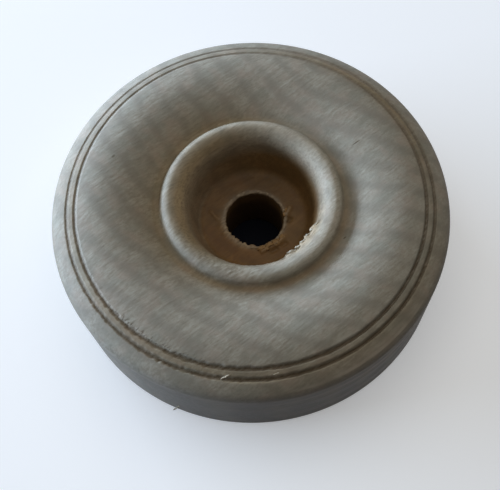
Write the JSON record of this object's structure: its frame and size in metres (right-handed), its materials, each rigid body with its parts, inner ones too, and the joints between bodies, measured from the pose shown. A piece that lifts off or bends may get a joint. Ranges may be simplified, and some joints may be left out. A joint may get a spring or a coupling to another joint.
{
  "type": "wooden wheel",
  "caption": "Small turned wooden wheel with a rounded face, fine rim grooves, a raised bead round a sunk hub, and a plain axle bore.",
  "frame": {"origin": "centre of the axle bore at the flat back of the wheel", "axes": "+Z along the axle bore, from the flat back towards the rounded face; X and Y are any two directions across it"},
  "size_m": [0.0635, 0.0634, 0.019],
  "materials": {
    "wood": "bare, turned and lightly sanded"
  },
  "bodies": {
    "root": {"wheel": "wood"}
  },
  "joints": []
}
